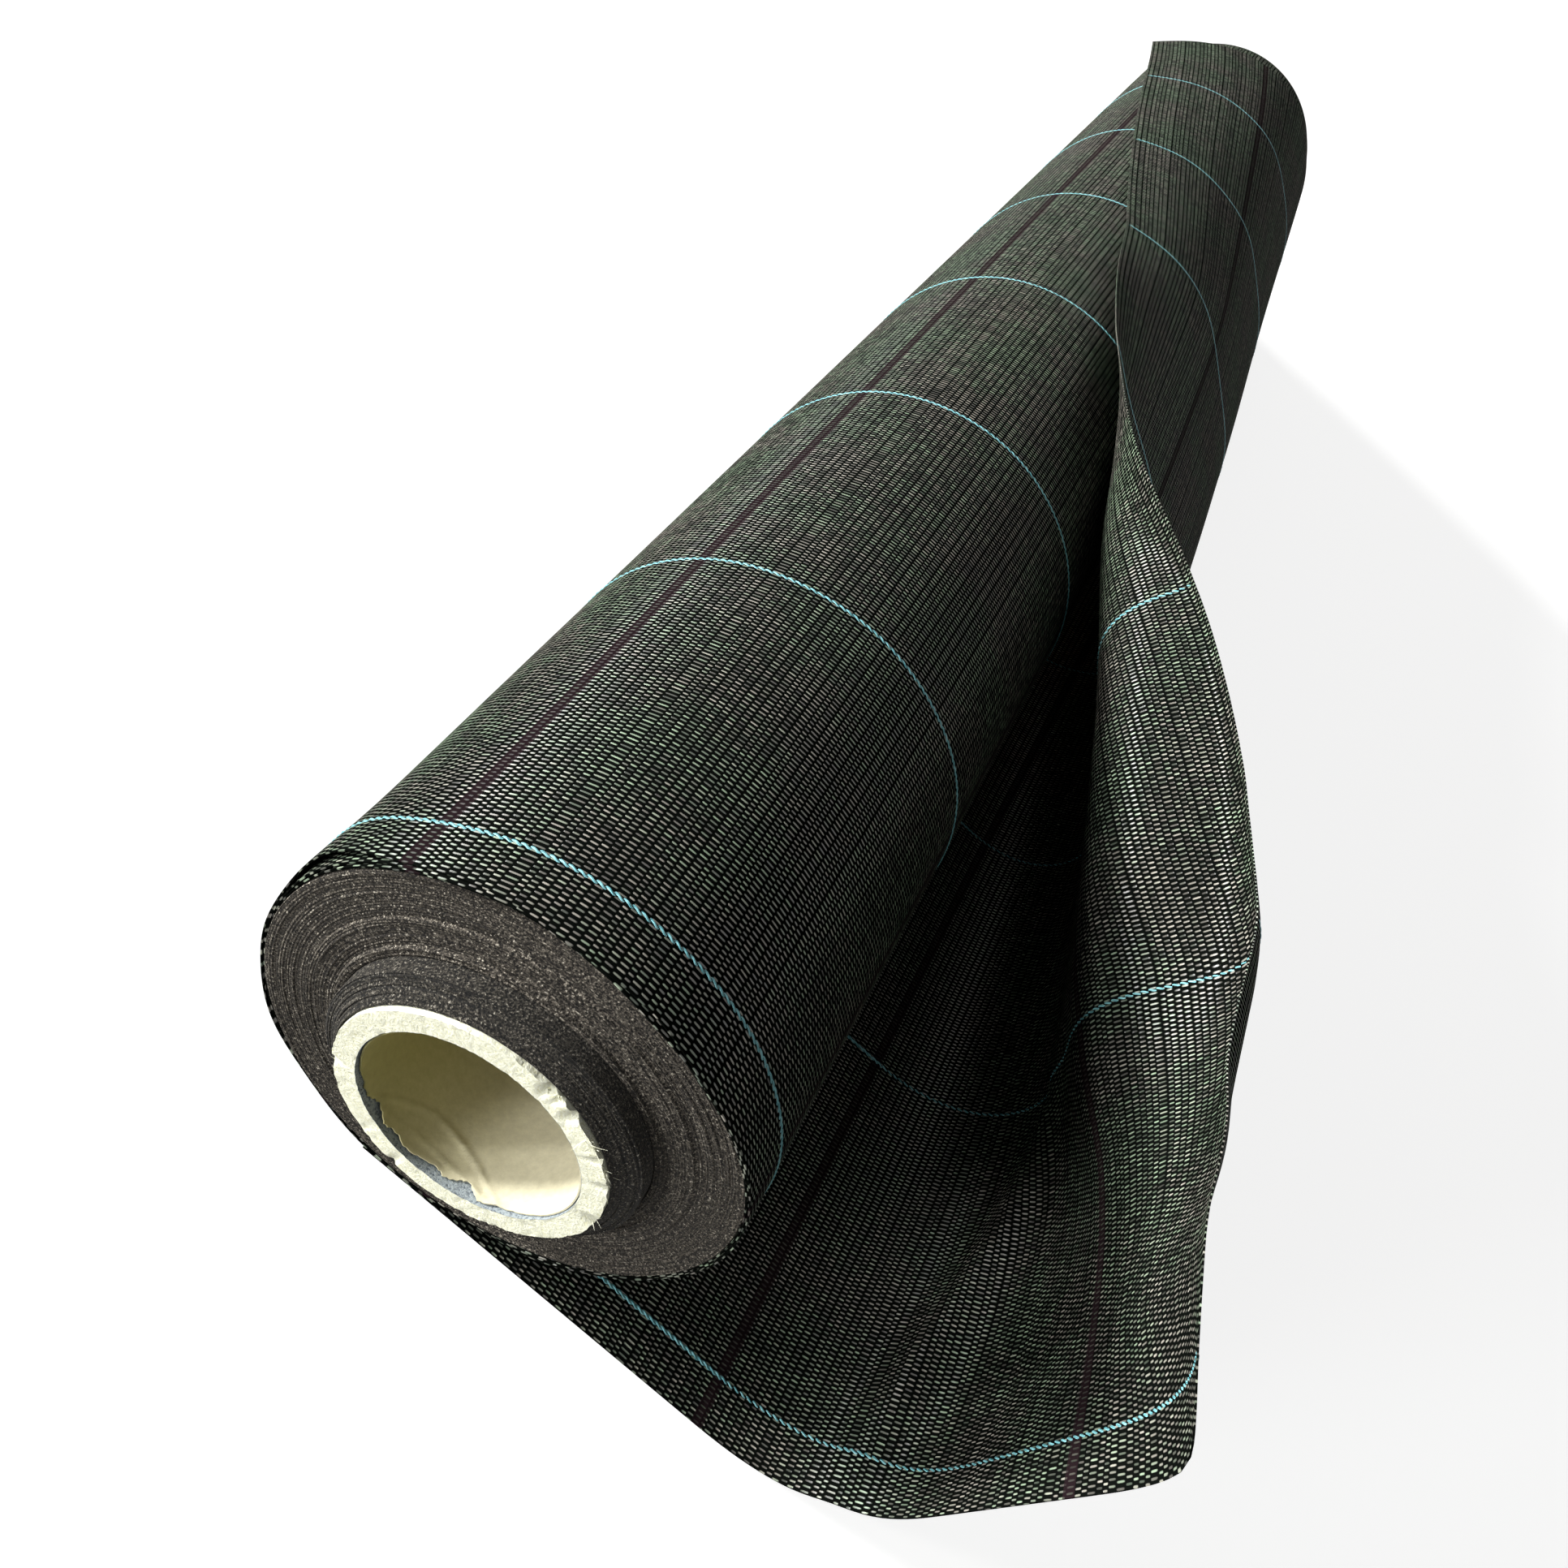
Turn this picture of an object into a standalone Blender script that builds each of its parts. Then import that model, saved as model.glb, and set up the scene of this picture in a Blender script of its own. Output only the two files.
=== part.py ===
"""Roll of woven weed control fabric lying on the ground, its loose end standing open beside it.

The roll's axis lies along Y above the origin, Z is up, and the origin is on the ground below
the axis, halfway across the fabric. The near end is at -Y and the loose end opens to +X.
Lengths are in metres.
"""
import math

import bpy
import numpy as np

# Fabric
fabric_width = 1.050
web_thickness = 0.0005
roll_diameter = 0.159
loose_length = 0.370
tucked_length = 0.012
loose_slack = 0.0015

# Cardboard core
core_length = 1.080
core_wall = 0.0075
core_bore = 0.070
liner_thickness = 0.0005

# Groups of turns on the core
first_turns_depth = 0.007
first_turns_shift = 0.008
outer_turns_depth = 0.0016

# Coloured marker yarns, woven in parallel lines along the fabric
marker_pitch = 0.150
first_marker_inset = 0.018
yarn_width = 0.0014
yarn_thickness = 0.0006

# Running and seating gap between pieces that touch
fit_gap = 0.0003

# Fineness of the faceted solids
turn_steps = 48
loose_rows = 26
columns_per_pitch = 3

# How the loose end bends, at stations across the width from the near edge. Each row gives the
# station as a share of the width, then four places as shares of the loose length: where the
# web leaves the ground, where it has finished its main bend, where it begins to turn outwards
# into a lapel and where the free edge begins to curl. A first place below zero means that the
# web is already rising where it leaves the roll.
loose_bend_shares = (
    (0.00, 0.34, 0.62, 0.80, 0.77),
    (0.05, 0.305, 0.715, 0.71, 0.885),
    (0.10, 0.30, 0.75, 0.715, 0.86),
    (0.16, 0.33, 0.665, 0.715, 0.89),
    (0.22, 0.325, 0.625, 0.77, 0.95),
    (0.30, 0.305, 0.60, 0.83, 0.98),
    (0.38, 0.25, 0.63, 0.85, 0.89),
    (0.46, 0.19, 0.665, 0.83, 0.75),
    (0.60, 0.115, 0.665, 0.70, 0.755),
    (0.78, 0.035, 0.655, 0.665, 0.77),
    (1.00, -0.06, 0.675, 0.60, 0.58),
)
# Slope of the web at the same stations, in degrees: after the main bend, on the lapel and at the
# free edge. Past 90 the web leans back over the roll, and past 180 it comes down beyond its top.
loose_slopes = (
    (86, 106, 136),
    (101, 110, 130),
    (117, 90, 146),
    (123, 65, 147),
    (127, 58, 130),
    (132, 62, 115),
    (141, 90, 118),
    (144, 131, 150),
    (142, 148, 192),
    (144, 174, 207),
    (152, 163, 222),
)
# The share of the loose length that the turn into the lapel takes
lapel_turn_share = 0.14

# Radii and heights that follow from the sizes above
roll_radius = roll_diameter / 2
liner_inner = core_bore / 2
liner_outer = liner_inner + liner_thickness
core_inner = liner_outer + fit_gap
core_outer = core_inner + core_wall
first_turns_inner = core_outer + fit_gap
first_turns_outer = first_turns_inner + first_turns_depth
body_turns_inner = first_turns_outer + fit_gap
outer_turns_inner = roll_radius - outer_turns_depth
body_turns_outer = outer_turns_inner - fit_gap
axis_height = web_thickness + fit_gap + roll_radius
half_width = fabric_width / 2
half_core = core_length / 2
marker_count = 1 + int((fabric_width - 2 * first_marker_inset) / marker_pitch)
marker_places = [first_marker_inset - half_width + marker_pitch * k for k in range(marker_count)]


def empty_scene():
    for item in list(bpy.data.objects):
        bpy.data.objects.remove(item, do_unlink=True)


def make_material(name, colour, roughness):
    material = bpy.data.materials.new(name)
    material.use_nodes = True
    shader = material.node_tree.nodes["Principled BSDF"]
    shader.inputs["Base Color"].default_value = (*colour, 1)
    shader.inputs["Roughness"].default_value = roughness
    shader.inputs["Metallic"].default_value = 0
    return material


def add_piece(name, mesh, material, parent):
    piece = bpy.data.objects.new(name, mesh)
    mesh.materials.append(material)
    collection.objects.link(piece)
    piece.parent = parent
    return piece


def turned(name, outline, material, parent):
    """A ring or tube: a closed outline of (radius, distance along the axis) turned once round.

    The outline runs down the outer side first, from the far end to the near end.
    """
    mesh = bpy.data.meshes.new(name)
    points = [(radius, 0, along) for radius, along in outline]
    edges = [(i, (i + 1) % len(points)) for i in range(len(points))]
    mesh.from_pydata(points, edges, [])
    piece = add_piece(name, mesh, material, parent)
    screw = piece.modifiers.new("turn", "SCREW")
    screw.steps = turn_steps
    screw.render_steps = turn_steps
    screw.use_merge_vertices = False
    screw.use_smooth_shade = True
    return piece


def tube_outline(inner, outer, near, far):
    return [(outer, far), (outer, near), (inner, near), (inner, far)]


def grooved_outline():
    """The outermost turns, with a groove for every marker yarn that is woven into them."""
    half_groove = yarn_width / 2 + fit_gap
    floor = roll_radius - yarn_thickness - fit_gap
    outline = [(roll_radius, half_width)]
    for place in reversed(marker_places):
        outline.append((roll_radius, place + half_groove))
        outline.append((floor, place + half_groove))
        outline.append((floor, place - half_groove))
        outline.append((roll_radius, place - half_groove))
    outline += [(roll_radius, -half_width), (outer_turns_inner, -half_width)]
    outline.append((outer_turns_inner, half_width))
    return outline


def smooth_between(stations, values, at):
    """Cubic curve through the stations, read at the given places."""
    slope = np.gradient(values, stations)
    k = np.clip(np.searchsorted(stations, at) - 1, 0, len(stations) - 2)
    span = stations[k + 1] - stations[k]
    t = (at - stations[k]) / span
    start = (1 + 2 * t) * (1 - t) ** 2 * values[k] + t * (1 - t) ** 2 * span * slope[k]
    end = t * t * (3 - 2 * t) * values[k + 1] + t * t * (t - 1) * span * slope[k + 1]
    return start + end


def eased(x, low, high):
    t = np.clip((x - low) / (high - low), 0, 1)
    return t * t * (3 - 2 * t)


def loose_face(across):
    """Outer face of the loose end as rows of points, from the tucked edge to the free edge.

    The web is laid out row by row from the line where it leaves the roll. Each step follows the
    slope of its station and turns sideways just enough to stay square to the row behind it, so
    that the web bends without stretching. Where it would enter the roll it lies on it instead.
    """
    shares = np.array(loose_bend_shares)
    slopes = np.array(loose_slopes, dtype=float)
    place = across / fabric_width
    stations = shares[:, 0]
    lift, bent, turn, edge = [smooth_between(stations, shares[:, i], place) for i in (1, 2, 3, 4)]
    standing, lapel, tip = [smooth_between(stations, slopes[:, i], place) for i in (0, 1, 2)]
    step = loose_length / loose_rows
    row = np.zeros((len(across), 3))
    row[:, 1] = across - half_width
    tucked = row.copy()
    tucked[:, 0] = -tucked_length
    rows = [tucked, row]
    for i in range(loose_rows):
        share = (i + 1 / 2) / loose_rows
        slope = standing * eased(share, lift, bent)
        slope += (lapel - standing) * eased(share, turn, turn + lapel_turn_share)
        slope += (tip - lapel) * eased(share, edge, 1)
        ahead, up = np.cos(np.radians(slope)), np.sin(np.radians(slope))
        along = np.gradient(row, across, axis=0)
        side = np.arctan2(-(ahead * along[:, 0] + up * along[:, 2]), along[:, 1])
        direction = np.stack([ahead * np.cos(side), np.sin(side), up * np.cos(side)], axis=-1)
        row = row + step * direction
        rows.append(row)
    face = np.array(rows)
    least = roll_radius + web_thickness + loose_slack
    height = face[..., 2] - axis_height
    reach = np.hypot(face[..., 0], height)
    push = np.where(face[..., 2] > 0, np.maximum(least / reach, 1), 1)
    face[..., 0] *= push
    face[..., 2] = np.where(push > 1, axis_height + height * push, face[..., 2])
    return face


def unit(vectors):
    return vectors / np.linalg.norm(vectors, axis=-1, keepdims=True)


def face_directions(face):
    """Unit vectors across the loose end, and normals to the side that faced the roll."""
    across = unit(np.gradient(face, axis=1))
    along = np.gradient(face, axis=0)
    return across, unit(np.cross(along, across))


def sheet_solid(name, points, thickness, material, parent):
    """A thin closed solid, built from a grid of points on its outer face towards the roll."""
    rows, columns = points.shape[:2]
    faces = []
    for i in range(rows - 1):
        for j in range(columns - 1):
            first = i * columns + j
            faces.append((first, first + columns, first + columns + 1, first + 1))
    mesh = bpy.data.meshes.new(name)
    mesh.from_pydata([tuple(p) for p in points.reshape(-1, 3)], [], faces)
    mesh.shade_smooth()
    piece = add_piece(name, mesh, material, parent)
    solidify = piece.modifiers.new("thickness", "SOLIDIFY")
    solidify.thickness = thickness
    solidify.offset = 1
    solidify.use_even_offset = False
    solidify.use_rim = True
    return piece


def columns_across():
    """Places across the web for its mesh, with one column under every marker yarn."""
    places = [0, first_marker_inset]
    for k in range(marker_count - 1):
        for i in range(columns_per_pitch):
            places.append(places[1] + marker_pitch * (k + (i + 1) / columns_per_pitch))
    left = fabric_width - places[-1]
    places += [places[-1] + left * (i + 1) / columns_per_pitch for i in range(columns_per_pitch)]
    return np.array(places)


def loose_yarn(k, face, across, normals, material, parent):
    """A marker yarn on the loose end, on the face that it shows: the inner one where the web
    lies open, the outer one where it is still folded over the roll."""
    column = 1 + k * columns_per_pitch
    outside = marker_places[k] > 0
    points = face[:, column]
    normal = normals[:, column]
    if outside:
        lift = -(fit_gap + yarn_thickness)
        shown = points[:, 2] > 2 * (yarn_thickness + fit_gap)
    else:
        lift = web_thickness + fit_gap
        room = np.hypot(points[:, 0], points[:, 2] - axis_height) - roll_radius
        shown = room > web_thickness + yarn_thickness + 2 * fit_gap
    first = len(shown) - int(np.argmin(shown[::-1]))
    run = points[first:] + normal[first:] * lift
    half_yarn = yarn_width / 2 * across[first:, column]
    strip = np.stack([run - half_yarn, run + half_yarn], axis=1)
    return sheet_solid(f"marker_yarn_loose_{k + 1}", strip, yarn_thickness, material, parent)


empty_scene()
collection = bpy.data.collections.new("weed_control_fabric_roll")
bpy.context.scene.collection.children.link(collection)

black_web = make_material("black woven polypropylene", (0.018, 0.022, 0.018), 0.55)
brown_turns = make_material("edges of the wound web", (0.035, 0.028, 0.022), 0.8)
teal_yarn = make_material("teal marker yarn", (0.10, 0.42, 0.45), 0.6)
cardboard = make_material("wound grey board", (0.72, 0.70, 0.50), 0.85)
kraft_paper = make_material("kraft paper ply", (0.45, 0.36, 0.20), 0.8)

ground = bpy.data.objects.new("ground_line", None)
collection.objects.link(ground)
roll_axis = bpy.data.objects.new("roll_axis", None)
roll_axis.location = (0, 0, axis_height)
roll_axis.rotation_euler = (-math.pi / 2, 0, 0)
collection.objects.link(roll_axis)

# Core
turned("core_tube", tube_outline(core_inner, core_outer, -half_core, half_core),
       cardboard, roll_axis)
turned("core_liner_ply", tube_outline(liner_inner, liner_outer, -half_core, half_core),
       kraft_paper, roll_axis)

# Wound web: the first turns have slid out towards the near end, as one group
turned("first_turns",
       tube_outline(first_turns_inner, first_turns_outer,
                    -half_width - first_turns_shift, half_width - first_turns_shift),
       brown_turns, roll_axis)
turned("body_turns", tube_outline(body_turns_inner, body_turns_outer, -half_width, half_width),
       brown_turns, roll_axis)
turned("outer_turns", grooved_outline(), black_web, roll_axis)

# Marker yarns round the roll
for k, place in enumerate(marker_places):
    ring = tube_outline(roll_radius - yarn_thickness, roll_radius,
                        place - yarn_width / 2, place + yarn_width / 2)
    turned(f"marker_yarn_roll_{k + 1}", ring, teal_yarn, roll_axis)

# Loose end with its marker yarns
face = loose_face(columns_across())
across, normals = face_directions(face)
sheet_solid("loose_end", face, web_thickness, black_web, ground)
for k in range(marker_count):
    loose_yarn(k, face, across, normals, teal_yarn, ground)
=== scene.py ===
"""Roll of woven weed control fabric, with its loose end standing open beside it.

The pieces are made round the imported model, in its own frame and in metres. The roll's axis runs
along Y, the near end is at -Y, and the loose end opens to +X.
"""
import math

import bpy
import numpy as np
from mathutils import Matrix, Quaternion, Vector


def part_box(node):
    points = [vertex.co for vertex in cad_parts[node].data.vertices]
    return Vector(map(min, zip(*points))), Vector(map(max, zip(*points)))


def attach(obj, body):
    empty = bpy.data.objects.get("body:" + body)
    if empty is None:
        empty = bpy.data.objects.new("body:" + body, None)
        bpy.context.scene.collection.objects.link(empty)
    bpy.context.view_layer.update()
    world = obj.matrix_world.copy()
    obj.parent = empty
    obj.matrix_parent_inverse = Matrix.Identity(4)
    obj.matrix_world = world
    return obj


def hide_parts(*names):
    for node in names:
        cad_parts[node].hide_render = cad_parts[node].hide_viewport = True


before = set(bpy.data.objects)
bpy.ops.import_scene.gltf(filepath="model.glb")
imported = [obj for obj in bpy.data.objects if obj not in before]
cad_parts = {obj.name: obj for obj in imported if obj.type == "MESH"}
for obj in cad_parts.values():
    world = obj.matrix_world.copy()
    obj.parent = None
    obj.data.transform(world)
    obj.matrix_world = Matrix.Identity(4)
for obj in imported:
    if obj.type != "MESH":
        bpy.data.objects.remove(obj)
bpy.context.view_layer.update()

millimetre = 0.001

# Camera: where it stands, the spot on the floor it is aimed at, and how far it is rolled
camera_place = Vector((-0.0484, -0.7269, 0.4354))
camera_aim = Vector((0.0317, -0.2714, 0))
camera_roll = math.radians(49.53)
camera_lens = 32.44
camera_nearest = 0.01

# Floor, and light that comes low from the left and the front left. Each sun shines from its place
# towards the origin, and has its strength and its width in degrees
floor_reach = 15.0
floor_drop = 0.5 * millimetre
floor_whitening = 0.8
room_as_light = 0.14
suns = (("window_at_left", 5.6, 8, (-0.981, -0.138, 0.139)),
        ("doorway_at_left", 2.1, 16, (-0.691, -0.715, 0.105)),
        ("high_window_at_left", 0.8, 4, (-0.891, -0.360, 0.276)))
softbox_size, softbox_watts = 1.2, 1
softbox_place, softbox_aim = (-0.9, -1.9, 0.5), (0, -0.5, 0.05)

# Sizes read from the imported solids
roll_low, roll_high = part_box("outer_turns")
core_low, core_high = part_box("core_tube")
liner_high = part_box("core_liner_ply")[1]
collar_low, collar_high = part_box("first_turns")
turns_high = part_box("body_turns")[1]
near_edge, far_edge = roll_low.y, roll_high.y
fabric_width = far_edge - near_edge
axis_height = (roll_low.z + roll_high.z) / 2
roll_radius = (roll_high.z - roll_low.z) / 2
roll_yarns = sorted(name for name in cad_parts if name.startswith("marker_yarn_roll"))
loose_yarns = [name.replace("roll", "loose") for name in roll_yarns]
yarn_places = [(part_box(name)[0].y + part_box(name)[1].y) / 2 - near_edge for name in roll_yarns]

# Sizes that the part's source gives and its boxes do not
web_thickness = 0.5 * millimetre
liner_thickness = 0.5 * millimetre
fit_gap = 0.3 * millimetre
loose_length = 0.370
tucked_length = 0.012
loose_slack = 1.5 * millimetre
loose_bend_shares = (
    (0.00, 0.34, 0.62, 0.80, 0.77),
    (0.05, 0.305, 0.715, 0.71, 0.885),
    (0.10, 0.30, 0.75, 0.715, 0.86),
    (0.16, 0.33, 0.665, 0.715, 0.89),
    (0.22, 0.325, 0.625, 0.77, 0.95),
    (0.30, 0.305, 0.60, 0.83, 0.98),
    (0.38, 0.25, 0.63, 0.85, 0.89),
    (0.46, 0.19, 0.665, 0.83, 0.75),
    (0.60, 0.115, 0.665, 0.70, 0.755),
    (0.78, 0.035, 0.655, 0.665, 0.77),
    (1.00, -0.06, 0.675, 0.60, 0.58),
)
loose_slopes = (
    (86, 106, 136),
    (101, 110, 130),
    (117, 90, 146),
    (123, 65, 147),
    (127, 58, 130),
    (132, 62, 115),
    (141, 90, 118),
    (144, 131, 150),
    (142, 148, 192),
    (144, 174, 207),
    (152, 163, 222),
)
lapel_turn_share = 0.14

# Weave: flat warp tapes run along the web, and weft tapes across it, over one and under one
weft_rows_round = 182
weft_pitch = 2 * math.pi * roll_radius / weft_rows_round
warp_pitch = 0.91 * millimetre
stripe_pitch = 0.150
stripe_width = 4.5 * millimetre
stripe_place = 0.131
slack_under_roll = 0.013

# Marker yarn: two plies twisted together, one full twist for every two weft rows
yarn_lay = 2 * weft_pitch
ply_half_width = 0.43 * millimetre
ply_half_height = 0.28 * millimetre
yarn_sunk_in_roll = 0.15 * millimetre
yarn_wander = 0.25 * millimetre
yarn_cut_short = 1.5 * millimetre
yarn_clear_of_roll = 1.2 * millimetre
steps_in_lay = 8
sides_of_ply = 6

# Outermost turns near the near end. Places round the roll are in degrees: 0 is +X and 90 is up
flare_height, flare_at, flare_spread, flare_reach = 3.2 * millimetre, 158, 15, 0.030
slack_height, slack_at, slack_spread, slack_reach = 2.0 * millimetre, 312, 18, 0.090
turn_ripple = 0.045 * millimetre
lip_back, lip_back_spread = 2.6 * millimetre, 24
lip_out, lip_out_at, lip_out_spread = 4.0 * millimetre, 66, 38
lip_uneven = 0.35 * millimetre
outer_turn_thickness = 0.45 * millimetre
outer_turn_inset = 0.25 * millimetre
# Rings of their meshes, in millimetres along the roll and closer together where they lift
outer_turn_rings = (0, 2, 5, 9, 14, 20, 28, 38, 50, 70, 100, 150, 220, 320, 430, 540, 650, 760,
                    870, 950, 1000, 1030, 1045, 1050)
# Number of the turn, how far it lies below the outermost one, and how much of its lift it follows
outer_turns = ((1, 0, 1), (2, 0.55 * millimetre, 0.35), (3, 1.1 * millimetre, 0.2))

# Wound face: ridges of the drawn turns, and how far the turns have slid towards the near end.
# The real turns are 0.29 mm apart, which is too fine to draw
ring_pitch = 0.9 * millimetre
body_relief, collar_relief = 0.28 * millimetre, 0.4 * millimetre
collar_slid = 5.2 * millimetre
body_steps = ((0.0625, 0.9 * millimetre), (0.0535, 1.3 * millimetre))

# Core: roughness of the saw cut, then chips in the near rim and bunches of frays on it
rim_rough, rim_waves = 0.16 * millimetre, 0.10 * millimetre
rim_nibble, rim_notch = 0.25 * millimetre, 0.5 * millimetre
# Place in degrees, spread in degrees, depth in millimetres
rim_chips = ((83, 2.5, 2.6), (78, 1.5, 1.8), (70, 2.2, 2.4), (48, 1.4, 1.6), (33, 2.0, 1.2),
             (8, 3.0, 1.5), (205, 2.0, 1.2), (262, 1.6, 1.0))
# Place in degrees, how many, length in millimetres
rim_fray_bunches = ((55, 12, 3.6), (41, 12, 3.2), (80, 8, 2.2), (68, 6, 2.0), (25, 5, 1.6),
                    (160, 4, 1.2), (205, 4, 1.4), (300, 5, 1.4), (330, 5, 1.2), (8, 6, 1.8))
fray_spread = 2.5
fray_points = 6

# Paper ply: where its long crease runs, as places in degrees and depths in millimetres
crease_turn = (225, 242, 252, 261, 272, 283, 293, 302, 310, 317, 325)
crease_depth = (2, 10, 13.5, 15.6, 15.2, 13.3, 10.5, 6.9, 3.5, 0, -6)
crease_height, second_crease_height = 0.7 * millimetre, 0.4 * millimetre
torn_curl = 0.8 * millimetre
# Rings of its mesh, in millimetres into the bore and closer together where it is creased
liner_rings = (0, 0.4, 0.8, 1.4, 2, 3, 4, 5, 6, 7, 8, 9, 10, 11, 12, 13, 14, 15, 16, 17, 18, 20,
               24, 30, 60, 300, 600, 900, 1050, 1070)

# Loose end: its near corner is worn round, and a soft crease runs up from the foot of the fold.
# The crease is given by places across the web and lengths along it
worn_corner = 42 * millimetre
corner_reach = 0.1
corner_columns = (1, 2.5, 6, 10)
soft_crease_across = (0, 0.06, 0.10, 0.15, 0.20)
soft_crease_along = (0.183, 0.196, 0.207, 0.224, 0.262)
soft_crease_height, soft_crease_width = 7.5 * millimetre, 11 * millimetre

# Fineness of the meshes
loose_rows = 104
loose_column_pitch = 4 * millimetre
turn_steps = 240
rim_steps = 360
sharp_angle = math.radians(50)

# UV layer with the place of every point on the flat web, in metres along it and across it
flat_places = "web"


# Meshes

def skin(name, parts):
    """One closed mesh from parts. Each part is (loops, places, joined): loops of points, one
    behind the other, the flat place of every point for the material, and whether the last loop
    is joined to the first. Where it is not, strips close both ends. Places have one more column
    than the loops, and one more row where these are joined."""
    points, faces, corners = [], [], []
    first = 0
    for loops, places, joined in parts:
        count, size = loops.shape[:2]
        rows = np.arange(count if joined else count - 1)
        loop, spot = np.meshgrid(rows, np.arange(size), indexing="ij")
        around_quad = [(0, 0), (1, 0), (1, 1), (0, 1)]
        quads = [first + (loop + a) % count * size + (spot + b) % size for a, b in around_quad]
        flat = [places[loop + a, spot + b] for a, b in around_quad]
        faces.append(np.stack(quads, axis=-1).reshape(-1, 4))
        corners.append(np.stack(flat, axis=-2).reshape(-1, 2))
        if not joined:
            spot = np.arange(size // 2 - 1)
            for end, order in ((0, (0, 1, 2, 3)), (count - 1, (3, 2, 1, 0))):
                strip = np.stack([spot, spot + 1, size - 2 - spot, size - 1 - spot], axis=-1)
                strip = strip[:, order]
                faces.append(first + end * size + strip)
                corners.append(places[end, strip].reshape(-1, 2))
        points.append(loops.reshape(-1, 3))
        first += count * size
    points, faces, corners = [np.concatenate(group) for group in (points, faces, corners)]
    mesh = bpy.data.meshes.new(name)
    mesh.from_pydata(points.tolist(), [], faces.tolist())
    mesh.uv_layers.new(name=flat_places).data.foreach_set("uv", corners.astype(np.float32).ravel())
    mesh.shade_smooth()
    mesh.set_sharp_from_angle(angle=sharp_angle)
    piece = bpy.data.objects.new(name, mesh)
    bpy.context.scene.collection.objects.link(piece)
    return piece


def finish_piece(piece, material, slot, body, *nodes):
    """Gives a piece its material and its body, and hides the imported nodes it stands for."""
    piece.data.materials.append(material)
    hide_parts(*nodes)
    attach(piece, body)
    return piece


def unit(vectors):
    return vectors / np.linalg.norm(vectors, axis=-1, keepdims=True)


def around(radius, angle, y):
    """Points at a distance and an angle from the roll's axis. Angle 0 is +X, a quarter turn +Z."""
    x, y, z = np.broadcast_arrays(radius * np.cos(angle), y, axis_height + radius * np.sin(angle))
    return np.stack([x, y, z], axis=-1)


def hump(angle, middle, spread):
    """A smooth hump of height 1 at one place round the roll. Middle and spread are in degrees."""
    away = (np.degrees(angle) - middle + 180) % 360 - 180
    return np.exp(-(away / spread) ** 2)


def wander(angle, seed, waves):
    """A smooth random line of about 1 up and down, which meets itself after a full turn."""
    rng = np.random.default_rng(seed)
    line = 0
    for wave in range(1, waves + 1):
        line = line + rng.normal() * np.sin(wave * angle + rng.uniform(0, 2 * math.pi))
    return line / math.sqrt(waves / 2)


def smooth_between(stations, values, at):
    """Cubic curve through the stations, read at the given places."""
    slope = np.gradient(values, stations, axis=0)
    k = np.clip(np.searchsorted(stations, at) - 1, 0, len(stations) - 2)
    span = stations[k + 1] - stations[k]
    t = (at - stations[k]) / span
    if values.ndim > 1:
        span, t = span[:, None], t[:, None]
    start = (1 + 2 * t) * (1 - t) ** 2 * values[k] + t * (1 - t) ** 2 * span * slope[k]
    end = t * t * (3 - 2 * t) * values[k + 1] + t * t * (t - 1) * span * slope[k + 1]
    return start + end


def eased(x, low, high):
    """0 below the low value and 1 above the high one, with a smooth rise between them."""
    t = np.clip((x - low) / (high - low), 0, 1)
    return t * t * (3 - 2 * t)


# Materials

def linear(hex_colour):
    """Linear colour with alpha, from an sRGB value such as #5fb4bf."""
    parts = [int(hex_colour[i:i + 2], 16) / 255 for i in (1, 3, 5)]
    return (*[c / 12.92 if c <= 0.04045 else ((c + 0.055) / 1.055) ** 2.4 for c in parts], 1)


def add_node(tree, kind, inputs, **settings):
    """Adds a node with its settings, values and links, and gives its outputs by name.

    Inputs are named, or numbered where several have one name. An output of another node is
    linked, and anything else is set as the value.
    """
    made = tree.nodes.new(kind)
    for name, value in settings.items():
        setattr(made, name, value)
    live = [socket for socket in made.inputs if socket.enabled]
    for key, value in inputs.items():
        socket = live[key] if isinstance(key, int) else next(s for s in live if s.name == key)
        if isinstance(value, bpy.types.NodeSocket):
            tree.links.new(value, socket)
        else:
            socket.default_value = value
    return {socket.name: socket for socket in made.outputs if socket.enabled}


def new_material(name):
    material = bpy.data.materials.new(name)
    material.use_nodes = True
    material.node_tree.nodes.clear()
    return material, material.node_tree


def finish_material(tree, inputs):
    surface = add_node(tree, "ShaderNodeBsdfPrincipled", inputs)["BSDF"]
    add_node(tree, "ShaderNodeOutputMaterial", {"Surface": surface})


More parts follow.
